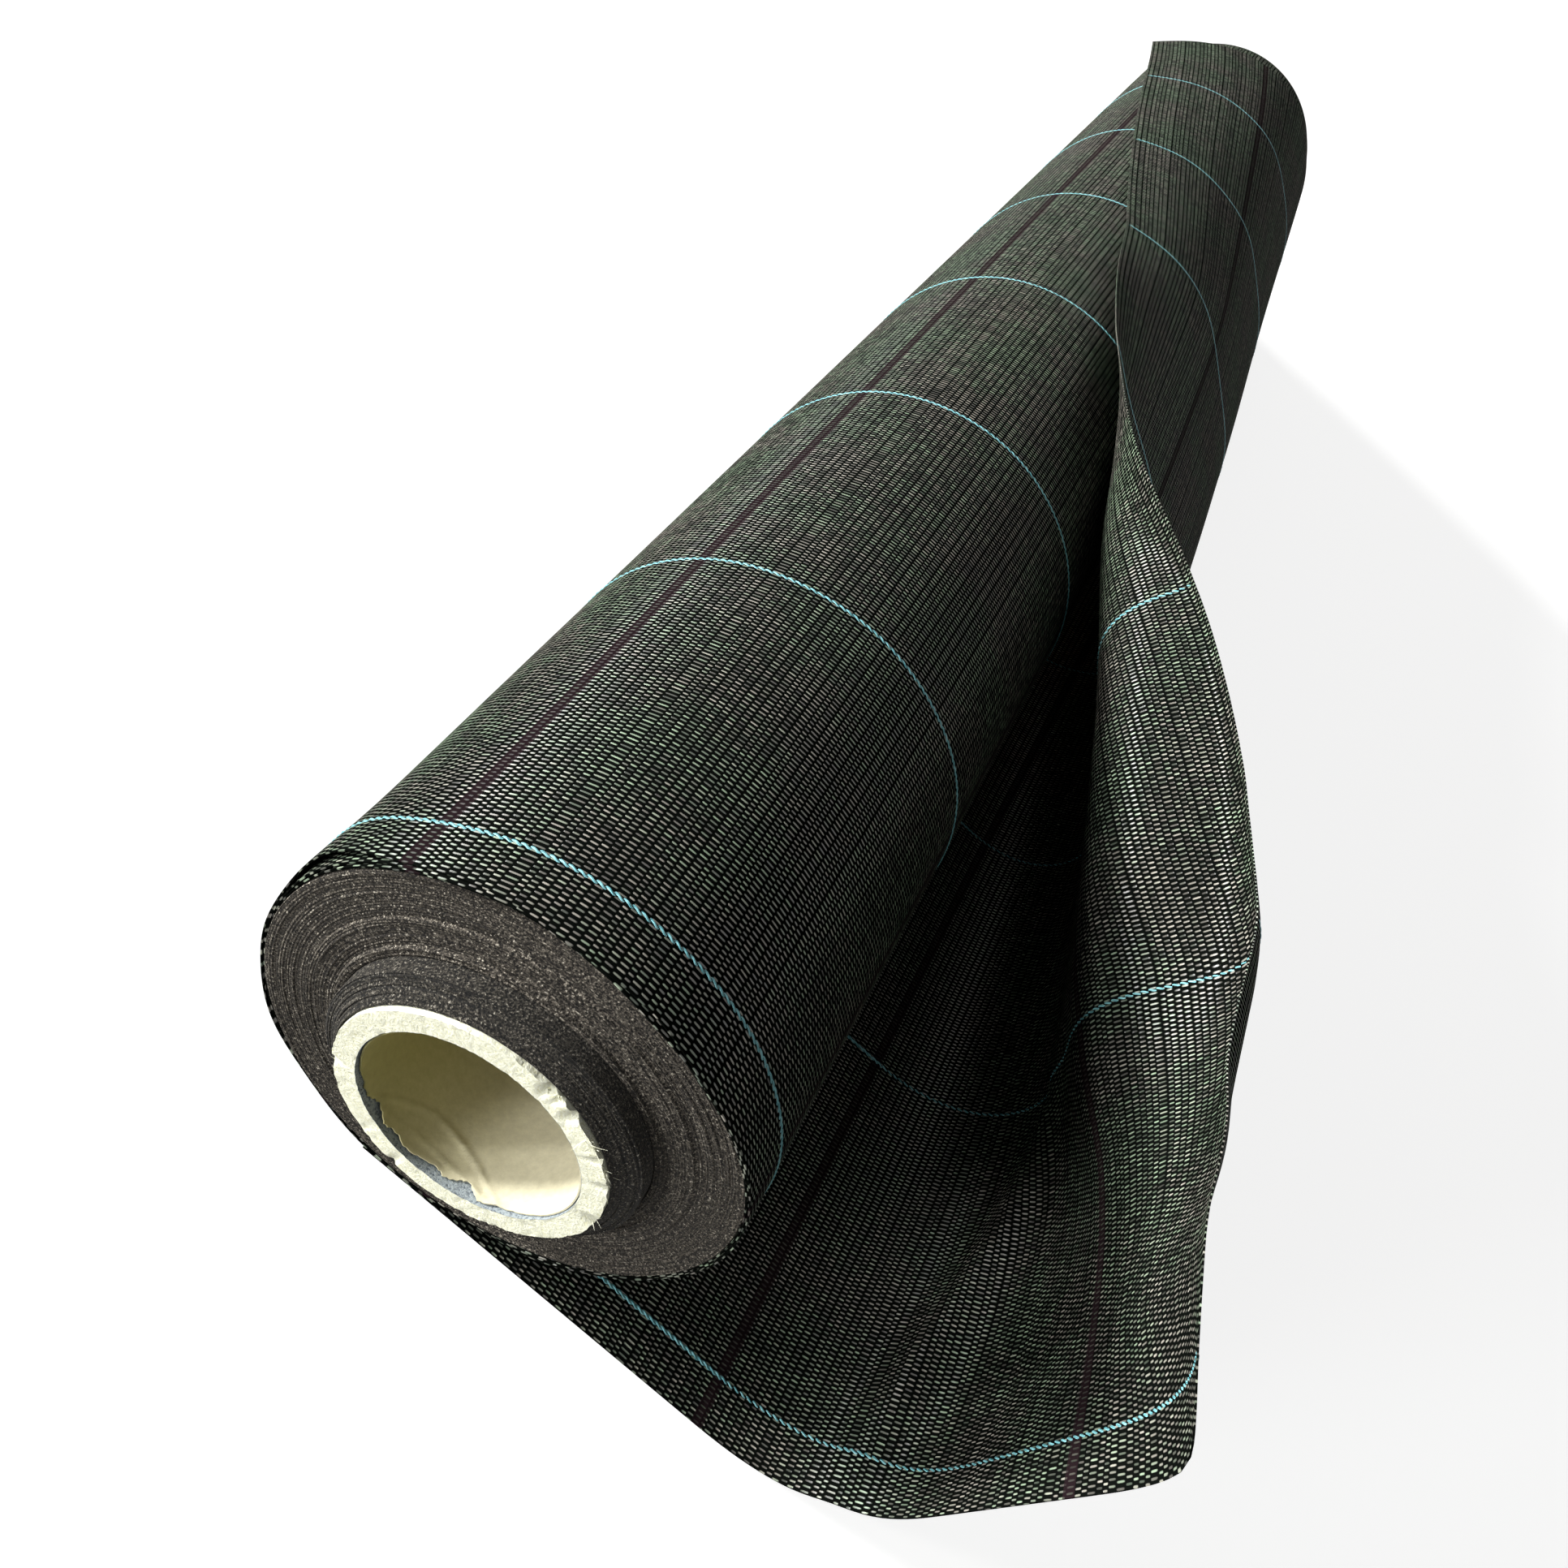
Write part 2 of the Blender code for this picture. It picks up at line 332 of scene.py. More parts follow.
def woven_polypropylene_tape():
    """Slit film tape woven flat: glossy crowned dashes where the warp comes over, dark pits
    between them, and a coloured tape for a cross stripe every 150 mm."""
    material, tree = new_material("woven black polypropylene tape")
    place = add_node(tree, "ShaderNodeUVMap", {}, uv_map=flat_places)["UV"]
    along = add_node(tree, "ShaderNodeSeparateXYZ", {"Vector": place})["X"]

    # Weft rows are beaten up unevenly, by up to half a row, and warp tapes drift by up to one tape
    beat = add_node(tree, "ShaderNodeTexNoise",
                    {"W": along, "Scale": 1 / (7 * millimetre), "Detail": 1},
                    noise_dimensions="1D")["Fac"]
    row_shift = add_node(tree, "ShaderNodeMapRange",
                         {"Value": beat, "To Min": -0.5 * weft_pitch,
                          "To Max": 0.5 * weft_pitch})["Result"]
    drift = add_node(tree, "ShaderNodeTexNoise",
                     {"Vector": place, "Scale": 1 / (30 * millimetre), "Detail": 1},
                     noise_dimensions="2D")["Fac"]
    warp_shift = add_node(tree, "ShaderNodeMapRange",
                          {"Value": drift, "To Min": -warp_pitch, "To Max": warp_pitch})["Result"]
    shift = add_node(tree, "ShaderNodeCombineXYZ", {"X": row_shift, "Y": warp_shift})["Vector"]
    shifted = add_node(tree, "ShaderNodeVectorMath", {0: place, 1: shift},
                       operation="ADD")["Vector"]
    counted = add_node(tree, "ShaderNodeVectorMath",
                       {0: shifted, 1: (1 / weft_pitch, 1 / warp_pitch, 0)},
                       operation="MULTIPLY")["Vector"]
    cell = add_node(tree, "ShaderNodeVectorMath", {0: counted}, operation="FLOOR")["Vector"]
    inside = add_node(tree, "ShaderNodeVectorMath", {0: counted}, operation="FRACTION")["Vector"]

    # Over one and under one: the warp is on top in every second cell
    diagonal = add_node(tree, "ShaderNodeVectorMath", {0: cell, 1: (1, 1, 0)},
                        operation="DOT_PRODUCT")["Value"]
    warp_up = add_node(tree, "ShaderNodeMath", {0: diagonal, 1: 2.0},
                       operation="FLOORED_MODULO")["Value"]

    # Crown of a dash: rounded across the tape, and dipping at both of its ends
    centred = add_node(tree, "ShaderNodeVectorMath", {0: inside, 1: (2, 2, 0), 2: (-1, -1, 0)},
                       operation="MULTIPLY_ADD")["Vector"]
    squared = add_node(tree, "ShaderNodeVectorMath", {0: centred, 1: centred},
                       operation="MULTIPLY")["Vector"]
    side = add_node(tree, "ShaderNodeSeparateXYZ", {"Vector": squared})
    end_dip = add_node(tree, "ShaderNodeMath", {0: side["X"], 1: 1.5}, operation="POWER")["Value"]
    warp_length = add_node(tree, "ShaderNodeMath", {0: 1.0, 1: end_dip},
                           operation="SUBTRACT")["Value"]
    warp_crown = add_node(tree, "ShaderNodeMath", {0: 1.0, 1: side["Y"]},
                          operation="SUBTRACT")["Value"]
    dash = add_node(tree, "ShaderNodeMath", {0: warp_length, 1: warp_crown},
                    operation="MULTIPLY")["Value"]
    crisp_dash = add_node(tree, "ShaderNodeMapRange",
                          {"Value": dash, "From Min": 0.25, "From Max": 0.85},
                          interpolation_type="SMOOTHSTEP")["Result"]
    shown_dash = add_node(tree, "ShaderNodeMath", {0: crisp_dash, 1: warp_up},
                          operation="MULTIPLY")["Value"]
    weft_crown = add_node(tree, "ShaderNodeMath", {0: 1.0, 1: side["X"]},
                          operation="SUBTRACT")["Value"]
    height = add_node(tree, "ShaderNodeMath", {0: weft_crown, 1: 0.35, 2: shown_dash},
                      operation="MULTIPLY_ADD")["Value"]

    # Each dash is given its own brightness. This is partly its own tone and partly a painted glint,
    # standing in for the light its crown catches. Some tapes are duller than their neighbours
    chance = add_node(tree, "ShaderNodeTexWhiteNoise", {"Vector": cell},
                      noise_dimensions="2D")["Value"]
    tape_number = add_node(tree, "ShaderNodeSeparateXYZ", {"Vector": cell})
    tape_chance = add_node(tree, "ShaderNodeTexWhiteNoise", {"W": tape_number["Y"]},
                           noise_dimensions="1D")["Value"]
    row_chance = add_node(tree, "ShaderNodeTexWhiteNoise", {"W": tape_number["X"]},
                          noise_dimensions="1D")["Value"]
    tape_part = add_node(tree, "ShaderNodeMath", {0: tape_chance, 1: 0.4, 2: 0.38},
                         operation="MULTIPLY_ADD")["Value"]
    row_part = add_node(tree, "ShaderNodeMath", {0: row_chance, 1: 0.4, 2: tape_part},
                        operation="MULTIPLY_ADD")["Value"]
    dash_part = add_node(tree, "ShaderNodeMath", {0: chance, 1: 1.1, 2: 0.2},
                         operation="MULTIPLY_ADD")["Value"]
    random_tone_and_painted_glint = add_node(tree, "ShaderNodeMath", {0: row_part, 1: dash_part},
                          operation="MULTIPLY")["Value"]
    dash_tone_and_painted_glint = add_node(tree, "ShaderNodeMath", {0: random_tone_and_painted_glint, 1: shown_dash}, operation="MULTIPLY",
                   use_clamp=True)["Value"]

    # The film is a little greener in some bands and browner in others
    tint = add_node(tree, "ShaderNodeTexNoise",
                    {"Vector": place, "Scale": 1 / (45 * millimetre), "Detail": 3},
                    noise_dimensions="2D")["Fac"]
    hue_chance = add_node(tree, "ShaderNodeTexWhiteNoise", {"Vector": cell, "W": 3.0},
                          noise_dimensions="4D")["Value"]
    scattered = add_node(tree, "ShaderNodeMath", {0: hue_chance, 1: 0.3, 2: tint},
                         operation="MULTIPLY_ADD")["Value"]
    banded = add_node(tree, "ShaderNodeMapRange",
                      {"Value": scattered, "From Min": 0.5, "From Max": 0.8})["Result"]
    # The pale grey green of the dashes is partly painted highlight, standing in for the shine on
    # the crowns of the black film
    film = add_node(tree, "ShaderNodeMix",
                    {"Factor": banded, "A": linear("#97ab90"), "B": linear("#a5a095")},
                    data_type="RGBA")["Result"]
    weave = add_node(tree, "ShaderNodeMix", {"Factor": dash_tone_and_painted_glint, "A": linear("#0b0d0b"), "B": film},
                     data_type="RGBA")["Result"]

    # Cross stripe, a purple brown tape laid in for less than two rows
    from_stripe = add_node(tree, "ShaderNodeMath", {0: along, 1: stripe_place - stripe_width / 2},
                           operation="SUBTRACT")["Value"]
    in_pitch = add_node(tree, "ShaderNodeMath", {0: from_stripe, 1: stripe_pitch},
                        operation="FLOORED_MODULO")["Value"]
    stripe = add_node(tree, "ShaderNodeMath", {0: in_pitch, 1: stripe_width},
                      operation="LESS_THAN")["Value"]
    stripe_part = add_node(tree, "ShaderNodeMath", {0: stripe, 1: 0.82},
                           operation="MULTIPLY")["Value"]
    colour = add_node(tree, "ShaderNodeMix",
                      {"Factor": stripe_part, "A": weave, "B": linear("#22181b")},
                      data_type="RGBA")["Result"]
    beside_stripe = add_node(tree, "ShaderNodeMath", {0: 1.0, 1: stripe_part},
                             operation="SUBTRACT")["Value"]

    roughness = add_node(tree, "ShaderNodeMapRange",
                         {"Value": chance, "To Min": 0.42, "To Max": 0.58})["Result"]
    # Seen along the web, the crowns hide each other, so the mirror of the room that a flat film
    # would show there is left out
    facing = add_node(tree, "ShaderNodeLayerWeight", {"Blend": 0.5})["Facing"]
    hidden = add_node(tree, "ShaderNodeMapRange",
                      {"Value": facing, "From Min": 0.4, "From Max": 0.8,
                       "To Min": 1.0, "To Max": 0.15})["Result"]
    shown_gloss = add_node(tree, "ShaderNodeMath", {0: shown_dash, 1: hidden},
                           operation="MULTIPLY")["Value"]
    gloss = add_node(tree, "ShaderNodeMath", {0: shown_gloss, 1: beside_stripe},
                     operation="MULTIPLY")["Value"]
    normal = add_node(tree, "ShaderNodeBump",
                      {"Height": height, "Strength": 0.8, "Distance": 0.15 * millimetre})
    # The warp tapes are drawn film, so a highlight spreads sideways over them, along the roll
    drawn = add_node(tree, "ShaderNodeTangent", {}, direction_type="UV_MAP",
                     uv_map=flat_places)["Tangent"]
    finish_material(tree, {"Base Color": colour, "Roughness": roughness,
                           "Specular IOR Level": gloss, "Anisotropic": 1.0,
                           "Anisotropic Rotation": 0.25, "Tangent": drawn,
                           "Normal": normal["Normal"]})
    return material


def radius_about_axis(tree):
    """Object coordinates, and the distance from the roll's axis."""
    place = add_node(tree, "ShaderNodeTexCoord", {})["Object"]
    moved = add_node(tree, "ShaderNodeVectorMath", {0: place, 1: (0, 0, -axis_height)},
                     operation="ADD")["Vector"]
    flat = add_node(tree, "ShaderNodeVectorMath", {0: moved, 1: (1, 0, 1)},
                    operation="MULTIPLY")["Vector"]
    return place, add_node(tree, "ShaderNodeVectorMath", {0: flat}, operation="LENGTH")["Value"]


def edges_of_wound_web(name, dark, light, fleck):
    """Heat cut edges of many turns: matt, fuzzy and speckled, with faint rings.

    The turns are 0.29 mm apart, which is too fine to show, so the rings are drawn three times
    as coarse, and the speckle at 0.7 mm.
    """
    material, tree = new_material(name)
    place, radius = radius_about_axis(tree)
    speckle = add_node(tree, "ShaderNodeTexNoise",
                       {"Vector": place, "Scale": 1 / (0.7 * millimetre), "Detail": 3,
                        "Roughness": 0.7})["Fac"]
    sharp = add_node(tree, "ShaderNodeMapRange",
                     {"Value": speckle, "From Min": 0.42, "From Max": 0.62})["Result"]
    rings = add_node(tree, "ShaderNodeTexNoise",
                     {"W": radius, "Scale": 1 / ring_pitch, "Detail": 2},
                     noise_dimensions="1D")["Fac"]
    ring_part = add_node(tree, "ShaderNodeMapRange",
                         {"Value": rings, "From Min": 0.38, "From Max": 0.62,
                          "To Min": 0.25})["Result"]
    tone = add_node(tree, "ShaderNodeMath", {0: sharp, 1: ring_part}, operation="MULTIPLY")["Value"]
    base = add_node(tree, "ShaderNodeMix", {"Factor": tone, "A": linear(dark), "B": linear(light)},
                    data_type="RGBA")["Result"]
    bright = add_node(tree, "ShaderNodeMapRange",
                      {"Value": speckle, "From Min": 0.60, "From Max": 0.70})["Result"]
    colour = add_node(tree, "ShaderNodeMix", {"Factor": bright, "A": base, "B": linear(fleck)},
                      data_type="RGBA")["Result"]
    normal = add_node(tree, "ShaderNodeBump",
                      {"Height": tone, "Strength": 0.9, "Distance": 0.4 * millimetre})
    finish_material(tree, {"Base Color": colour, "Roughness": 0.85, "Specular IOR Level": 0.2,
                           "Normal": normal["Normal"]})
    return material


def twisted_polypropylene_yarn():
    """Drawn and twisted teal filament: soft gloss, with filaments that show as fine streaks. Their
    pale and dark colours are partly painted highlight and painted shade.
    """
    material, tree = new_material("twisted teal polypropylene yarn")
    place = add_node(tree, "ShaderNodeUVMap", {}, uv_map=flat_places)["UV"]
    stretched = add_node(tree, "ShaderNodeVectorMath",
                         {0: place, 1: (1 / (3 * millimetre), 1 / (0.2 * millimetre), 0)},
                         operation="MULTIPLY")["Vector"]
    streak = add_node(tree, "ShaderNodeTexNoise", {"Vector": stretched, "Scale": 1.0, "Detail": 2},
                      noise_dimensions="2D")["Fac"]
    part = add_node(tree, "ShaderNodeMapRange",
                    {"Value": streak, "From Min": 0.35, "From Max": 0.65})["Result"]
    # Pale and dark teal mixed in random streaks: partly painted highlight and painted shade on the
    # filaments
    colour = add_node(tree, "ShaderNodeMix",
                      {"Factor": part, "A": linear("#2b747c"), "B": linear("#9bdae0")},
                      data_type="RGBA")["Result"]
    normal = add_node(tree, "ShaderNodeBump",
                      {"Height": streak, "Strength": 0.5, "Distance": 0.1 * millimetre})
    finish_material(tree, {"Base Color": colour, "Roughness": 0.45, "Normal": normal["Normal"]})
    return material


def sawn_board():
    """Wound board, sawn across: pale, matt and fibrous, with a blue grey ply in the bore."""
    material, tree = new_material("wound board sawn across")
    place, radius = radius_about_axis(tree)
    fibre = add_node(tree, "ShaderNodeTexNoise",
                     {"Vector": place, "Scale": 1 / (0.9 * millimetre), "Detail": 4,
                      "Roughness": 0.7})["Fac"]
    part = add_node(tree, "ShaderNodeMapRange",
                    {"Value": fibre, "From Min": 0.34, "From Max": 0.52})["Result"]
    board = add_node(tree, "ShaderNodeMix",
                     {"Factor": part, "A": linear("#e9e7c0"), "B": linear("#fafae4")},
                     data_type="RGBA")["Result"]
    in_bore = add_node(tree, "ShaderNodeMath",
                       {0: radius, 1: core_bore_radius + 0.1 * millimetre},
                       operation="LESS_THAN")["Value"]
    ply = add_node(tree, "ShaderNodeMix",
                   {"Factor": part, "A": linear("#4d5660"), "B": linear("#9aa3a6")},
                   data_type="RGBA")["Result"]
    colour = add_node(tree, "ShaderNodeMix", {"Factor": in_bore, "A": board, "B": ply},
                      data_type="RGBA")["Result"]
    normal = add_node(tree, "ShaderNodeBump",
                      {"Height": fibre, "Strength": 0.9, "Distance": 0.5 * millimetre})
    finish_material(tree, {"Base Color": colour, "Roughness": 0.9, "Specular IOR Level": 0.2,
                           "Normal": normal["Normal"]})
    return material


def kraft_paper():
    """Calendered kraft paper: smooth, low sheen and mottled by its fibres. Painted shade makes it
    darker and yellower on the side away from the loose end, where the light from the left does not
    reach."""
    material, tree = new_material("kraft paper ply")
    place = add_node(tree, "ShaderNodeTexCoord", {})["Object"]
    mottle = add_node(tree, "ShaderNodeTexNoise",
                      {"Vector": place, "Scale": 1 / (2.5 * millimetre), "Detail": 6,
                       "Roughness": 0.7})["Fac"]
    sideways = add_node(tree, "ShaderNodeSeparateXYZ", {"Vector": place})["X"]
    # Painted shade: the paper is darker and yellower towards -X and paler towards +X, where light
    # falls into the bore
    painted_shade_across = add_node(tree, "ShaderNodeMapRange",
                    {"Value": sideways, "From Min": -0.034, "From Max": 0.028},
                    interpolation_type="SMOOTHSTEP")
    paper = add_node(tree, "ShaderNodeMix",
                     {"Factor": painted_shade_across["Result"], "A": linear("#aea76c"), "B": linear("#e2dbbd")},
                     data_type="RGBA")["Result"]
    part = add_node(tree, "ShaderNodeMapRange",
                    {"Value": mottle, "From Min": 0.3, "From Max": 0.7,
                     "To Min": 0.25, "To Max": 0.0})["Result"]
    colour = add_node(tree, "ShaderNodeMix", {"Factor": part, "A": paper, "B": linear("#6d6238")},
                      data_type="RGBA")["Result"]
    normal = add_node(tree, "ShaderNodeBump",
                      {"Height": mottle, "Strength": 0.3, "Distance": 0.3 * millimetre})
    finish_material(tree, {"Base Color": colour, "Roughness": 0.7, "Specular IOR Level": 0.3,
                           "Normal": normal["Normal"]})
    return material


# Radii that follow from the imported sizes
core_bore_radius = liner_high.x + fit_gap
core_radius = core_high.x
collar_inner = core_radius + fit_gap
collar_radius = collar_high.x
turns_inner = collar_radius + fit_gap
turns_radius = turns_high.x
web_radius = roll_radius - outer_turn_inset

tape = woven_polypropylene_tape()
turn_edges = edges_of_wound_web("cut edges of wound polypropylene web",
                                "#0c0a08", "#857d71", "#cdc6b6")
collar_edges = edges_of_wound_web("cut edges of the first turns", "#080808", "#605b52", "#a8a396")
teal_yarn = twisted_polypropylene_yarn()
board = sawn_board()
paper = kraft_paper()


# Roll

def turn_lift(angle, y):
    """How far the outermost turn stands off the roll near its near end: it is flared at the
    upper left, and slack at the lower right. This is its shape at rest, and it turns with the
    roll."""
    from_edge = np.maximum(y - near_edge, 0)
    flare = flare_height * hump(angle, flare_at, flare_spread)
    flare = flare * np.exp(-(from_edge / flare_reach) ** 2)
    slack = slack_height * hump(angle, slack_at, slack_spread)
    slack = slack * np.exp(-(from_edge / slack_reach) ** 2)
    ripple = turn_ripple * wander(angle + 9 * y, 3, 7) * np.sin(17 * y) ** 2
    return flare + slack + ripple


def outer_turn(number, below, follow):
    """One of the turns on the outside of the roll, as a closed band with its own near edge."""
    turn = np.linspace(0, 2 * math.pi, turn_steps + 1)
    angle = math.radians(270) - turn
    edge = near_edge + lip_back * hump(angle, flare_at, lip_back_spread) * (number == 1)
    edge = edge - lip_out * hump(angle, lip_out_at, lip_out_spread)
    edge = edge + lip_uneven * wander(angle, 20 + number, 12)
    shares = np.array(outer_turn_rings) / outer_turn_rings[-1]
    y = edge[:, None] + (far_edge - edge[:, None]) * shares
    lift = follow * turn_lift(angle[:, None], y)
    outside = around(web_radius - below + lift, angle[:, None], y)
    inside = around(web_radius - below - outer_turn_thickness + lift, angle[:, None], y)
    across = np.concatenate([y, y[:, ::-1], y[:, :1]], axis=1) - near_edge
    along = slack_under_roll - (web_radius - below) * turn[:, None] + 0 * across
    loops = np.concatenate([outside, inside[:, ::-1]], axis=1)[:-1]
    return skin(f"outer_turn_{number}", [(loops, np.stack([along, across], axis=-1), True)])


def wound_turns(name, inner, outer, near, far, depth, seed, slid=0, steps=()):
    """Many turns as one ring. Both ends are a spiral of ridges that stand out unevenly. The turns
    have slid towards the near end, most at the inner radius, and at each step by a little more."""
    rng = np.random.default_rng(seed)
    stations = 14
    unevenness = rng.normal(size=stations * (int((outer - inner) / ring_pitch) + 3))
    radius = np.linspace(outer, inner, 4 * int((outer - inner) / ring_pitch) + 1)
    turn = np.linspace(0, 2 * math.pi, turn_steps + 1)[:, None]
    count = (outer - radius) / ring_pitch + turn / (2 * math.pi)
    number = np.floor(count)
    ridge = 1 - (2 * (count - number) - 1) ** 2
    along_spiral = (number + 1 - turn / (2 * math.pi)) * stations
    stand = np.interp(along_spiral, np.arange(len(unevenness)), unevenness)
    relief = depth * (0.5 * stand + ridge)
    edge = np.minimum(np.minimum(radius - inner, outer - radius) / (0.3 * millimetre), 1)
    near = near - slid * ((outer - radius) / (outer - inner)) ** 1.5
    for step_radius, step_height in steps:
        near = near - step_height * eased(step_radius - radius, -0.3 * millimetre, 0.3 * millimetre)
    near_face = around(radius, turn, near - relief * edge)
    far_face = around(radius, turn, far + relief * edge)
    loops = np.concatenate([near_face, far_face[:, ::-1]], axis=1)[:-1]
    places = np.zeros((turn_steps + 1, 2 * len(radius) + 1, 2))
    return skin(name, [(loops, places, True)])


def core_tube():
    """Sawn board tube. Both cuts are ragged, and the near one is chipped at its upper right."""
    rng = np.random.default_rng(11)
    angle = np.linspace(0, 2 * math.pi, rim_steps + 1)[:-1, None]
    radius = np.linspace(core_radius, core_bore_radius, 8)
    rough = rng.normal(size=(rim_steps, len(radius)))
    rough = (rough + np.roll(rough, 1, axis=0) + np.roll(rough, -1, axis=0)) / 3
    ragged = rim_rough * rough + rim_waves * wander(angle, 12, 30)
    share_out = np.linspace(1, 0, len(radius))
    chips = 0
    for middle, spread, deep in rim_chips:
        chips = chips + deep * millimetre * hump(angle, middle, spread) * share_out ** 2
    nibbled = rim_nibble * rough[:, :1] - rim_notch * hump(angle, 75, 14) * (rough[:, 1:2] > 0)
    near_rim = around(radius + nibbled * share_out, angle, core_low.y + np.abs(ragged) + chips)
    far_rim = around(radius + nibbled * share_out, angle, core_high.y - np.abs(ragged[::-1]))
    sides = [core_low.y + 0.004, core_low.y + 0.012, -0.3, 0, 0.3,
             core_high.y - 0.012, core_high.y - 0.004]
    outside = around(core_radius, angle, np.array(sides[::-1]))
    bore = around(core_bore_radius, angle, np.array(sides))
    loops = np.concatenate([outside, near_rim, bore, far_rim[:, ::-1]], axis=1)
    places = np.zeros((rim_steps + 1, loops.shape[1] + 1, 2))
    return skin("core_tube_board", [(loops, places, True)])


def rim_frays():
    """Torn paper fibres that stand out of the core's near rim, thickest at its right."""
    rng = np.random.default_rng(5)
    parts = []
    for middle, count, length in rim_fray_bunches:
        for _ in range(count):
            angle = math.radians(middle + rng.normal() * fray_spread)
            reach = length * millimetre * rng.uniform(0.5, 1.2)
            lean = rng.normal(size=3) * 0.55 + np.array([math.cos(angle), -0.7, math.sin(angle)])
            root = around(core_radius - rng.uniform(0, 3) * millimetre, angle,
                          core_low.y + 1.2 * millimetre)
            curl = rng.normal(size=3) * 0.5
            share = np.linspace(0, 1, fray_points)[:, None]
            line = root + reach * (share * unit(lean) + share ** 2 * curl)
            thick = rng.uniform(0.12, 0.32) * millimetre * (1 - 0.8 * share)
            side = unit(np.cross(lean, (0.3, 1, 0.2)))
            other = unit(np.cross(lean, side))
            ring = [line + thick * (math.cos(a) * side + 0.5 * math.sin(a) * other)
                    for a in np.linspace(0, 2 * math.pi, 5)[:-1]]
            parts.append((np.stack(ring, axis=1), np.zeros((fray_points, 5, 2)), False))
    return skin("core_rim_frays", parts)


def core_liner():
    """Innermost paper ply. It is torn back along the bottom of the near end, where the board's
    grey ply shows, and a curved crease runs over it."""
    rng = np.random.default_rng(8)
    angle = np.linspace(0, 2 * math.pi, rim_steps + 1)[:-1, None]
    torn = np.clip(hump(angle, 262, 46) * 1.6, 0, 1)
    jagged = rng.normal(size=(rim_steps, 1))
    jagged = (jagged + np.roll(jagged, 1, axis=0)) / 2
    edge = 0.8 * millimetre + torn * (2.2 + 0.9 * wander(angle, 9, 24) + 0.35 * jagged) * millimetre
    edge = core_low.y + np.maximum(edge, 0.3 * millimetre)
    depths = np.array(liner_rings) * millimetre
    far_liner = core_high.y - 0.5 * millimetre
    y = edge + depths * (far_liner - edge) / depths[-1]
    depth = y - core_low.y
    crease_at = np.interp(np.degrees(angle), crease_turn, crease_depth) * millimetre
    along_crease = hump(angle, 275, 38)
    crease = crease_height * along_crease * np.exp(-((depth - crease_at) / (0.9 * millimetre)) ** 2)
    from_second = depth - 0.45 * crease_at
    second = second_crease_height * along_crease * np.exp(-(from_second / (0.7 * millimetre)) ** 2)
    curl = torn_curl * torn * np.exp(-((y - edge) / (2.2 * millimetre)) ** 2)
    curl = curl * (0.6 + 0.4 * wander(angle, 14, 16))
    inward = np.maximum(crease + second + curl, 0)
    outside = around(liner_high.x - inward, angle, y)
    inside = around(liner_high.x - liner_thickness - inward, angle, y)
    loops = np.concatenate([outside[:, ::-1], inside], axis=1)
    places = np.zeros((rim_steps + 1, loops.shape[1] + 1, 2))
    return skin("core_liner_paper", [(loops, places, True)])


def twisted_yarn(name, path, side, up, joined):
    """Two plies twisted about a path. Side and up are unit vectors across the yarn."""
    steps = len(path)
    length = np.linspace(0, 1, steps + 1)[:, None] * steps / steps_in_lay * yarn_lay
    spin = 2 * math.pi * np.arange(steps)[:, None] / steps_in_lay
    section = np.linspace(0, 2 * math.pi, sides_of_ply + 1)
    parts = []
    for phase in (0, math.pi):
        middle = (path + ply_half_width * np.cos(spin + phase) * side
                  + ply_half_height * np.sin(spin + phase) * up)
        ring = [middle + ply_half_width * math.cos(a) * side + ply_half_height * math.sin(a) * up
                for a in section[:-1]]
        around_ply = section * ply_half_width + phase
        places = np.stack(np.broadcast_arrays(length, around_ply), axis=-1)
        parts.append((np.stack(ring, axis=1), places if joined else places[:-1], joined))
    return skin(name, parts)


def roll_yarn(k):
    """One marker yarn where it runs round the roll, laid a little into the outermost turn."""
    steps = weft_rows_round // 2 * steps_in_lay
    angle = math.radians(270) - np.linspace(0, 2 * math.pi, steps + 1)[:-1]
    y = near_edge + yarn_places[k] + yarn_wander * wander(angle, 40 + k, 9)
    path = around(web_radius - yarn_sunk_in_roll + turn_lift(angle, y), angle, y)
    side = np.zeros((steps, 3)) + (0, 1, 0)
    up = around(1, angle, 0) - (0, 0, axis_height)
    return twisted_yarn(f"teal_yarn_roll_{k + 1}", path, side, up, True)


for number, below, follow in outer_turns:
    finish_piece(outer_turn(number, below, follow), tape, "black_web", "roll", "outer_turns")
finish_piece(wound_turns("body_of_turns", turns_inner, turns_radius, near_edge, far_edge,
                         body_relief, 1, steps=body_steps),
             turn_edges, "web_edges", "roll", "body_turns")
finish_piece(wound_turns("first_turns_collar", collar_inner, collar_radius,
                         collar_low.y, collar_high.y, collar_relief, 2, slid=collar_slid),
             collar_edges, "web_edges", "roll", "first_turns")
finish_piece(core_tube(), board, "core_board", "roll", "core_tube")
finish_piece(rim_frays(), board, "core_board", "roll", "core_tube")
finish_piece(core_liner(), paper, "liner_paper", "roll", "core_liner_ply")
for k, node_name in enumerate(roll_yarns):
    finish_piece(roll_yarn(k), teal_yarn, "teal_yarn", "roll", node_name)


# Loose end

